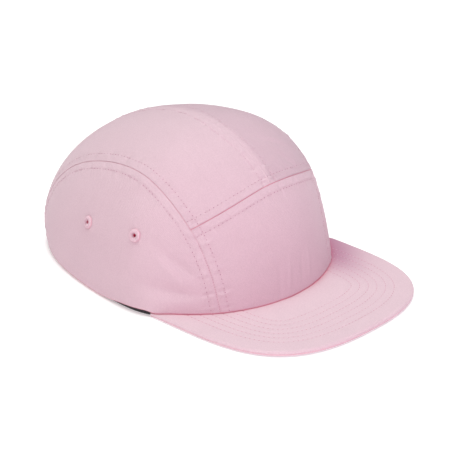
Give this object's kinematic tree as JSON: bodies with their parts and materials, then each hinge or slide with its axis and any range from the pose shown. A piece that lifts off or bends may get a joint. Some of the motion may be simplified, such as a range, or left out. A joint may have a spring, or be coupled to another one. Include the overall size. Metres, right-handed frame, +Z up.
{
  "type": "five panel cap",
  "caption": "Cotton cap with an upright front, a two-part top, ear panels with air holes, a flat stitched peak and an adjustable strap at the back.",
  "frame": {"origin": "middle of the cap's own box, on the surface it rests on", "axes": "-Y the way the peak points, +X the wearer's left, +Z up"},
  "size_m": [0.1686, 0.265, 0.1021],
  "materials": {
    "cloth": "brushed cotton twill",
    "thread": "embroidery thread",
    "band": "black woven cotton",
    "webbing": "woven cotton webbing",
    "metal": "satin"
  },
  "bodies": {
    "root": {"front_panel": "cloth", "right_top_panel": "cloth", "left_top_panel": "cloth", "right_side_panel": "cloth", "left_side_panel": "cloth", "peak": "cloth", "sweatband": "band", "right_front_eyelet": "thread", "right_rear_eyelet": "thread", "left_front_eyelet": "thread", "left_rear_eyelet": "thread", "back_strap": "webbing", "buckle": "metal"}
  },
  "joints": []
}
